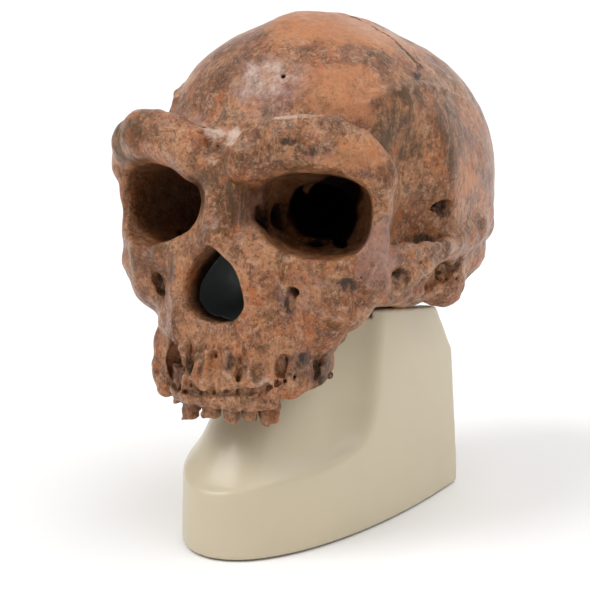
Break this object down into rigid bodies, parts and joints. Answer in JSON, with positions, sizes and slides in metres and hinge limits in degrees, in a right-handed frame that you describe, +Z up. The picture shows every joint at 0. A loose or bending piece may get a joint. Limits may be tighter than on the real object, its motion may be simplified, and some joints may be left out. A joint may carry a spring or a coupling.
{
  "type": "anatomical skull model",
  "caption": "Study replica of a heavy-browed fossil cranium without its lower jaw, resting loosely on a sculpted ivory stand.",
  "frame": {"origin": "on the table, under the middle of the whole model", "axes": "+Z up, the face towards -Y, +X to the skull's own left"},
  "size_m": [0.1502, 0.2184, 0.2345],
  "materials": {
    "fossil": "semi-gloss, mottled brown cast",
    "stump": "semi-gloss brown cast",
    "cavity": "dark, slightly glossy",
    "ivory": "satin ivory",
    "plate": "matte ivory",
    "pad": "matte black rubber",
    "steel": "satin steel"
  },
  "bodies": {
    "stand": {"stand_shell": "ivory", "base_plate": "plate", "base_screw_1": "steel", "base_screw_2": "steel", "base_screw_3": "steel", "base_screw_4": "steel", "foot_pad_1": "pad", "foot_pad_2": "pad", "foot_pad_3": "pad", "foot_pad_4": "pad", "locating_peg": "ivory", "rest_pad_front": "pad", "rest_pad_left": "pad", "rest_pad_right": "pad"},
    "cranium": {"face_casting": "fossil", "braincase_casting": "fossil", "nasal_backing": "cavity", "tooth_stump_01": "stump", "tooth_stump_02": "stump", "tooth_stump_03": "stump", "tooth_stump_04": "stump", "tooth_stump_05": "stump", "tooth_stump_06": "stump", "tooth_stump_07": "stump", "tooth_stump_08": "stump", "tooth_stump_09": "stump", "tooth_stump_10": "stump", "tooth_stump_11": "stump", "tooth_stump_12": "stump", "tooth_stump_13": "stump", "tooth_stump_14": "stump"}
  },
  "joints": [
    {"name": "cranium_lift", "type": "slide", "parent": "stand", "child": "cranium", "axis": [0, 0, 1], "range_m": [0, 0.08]}
  ]
}
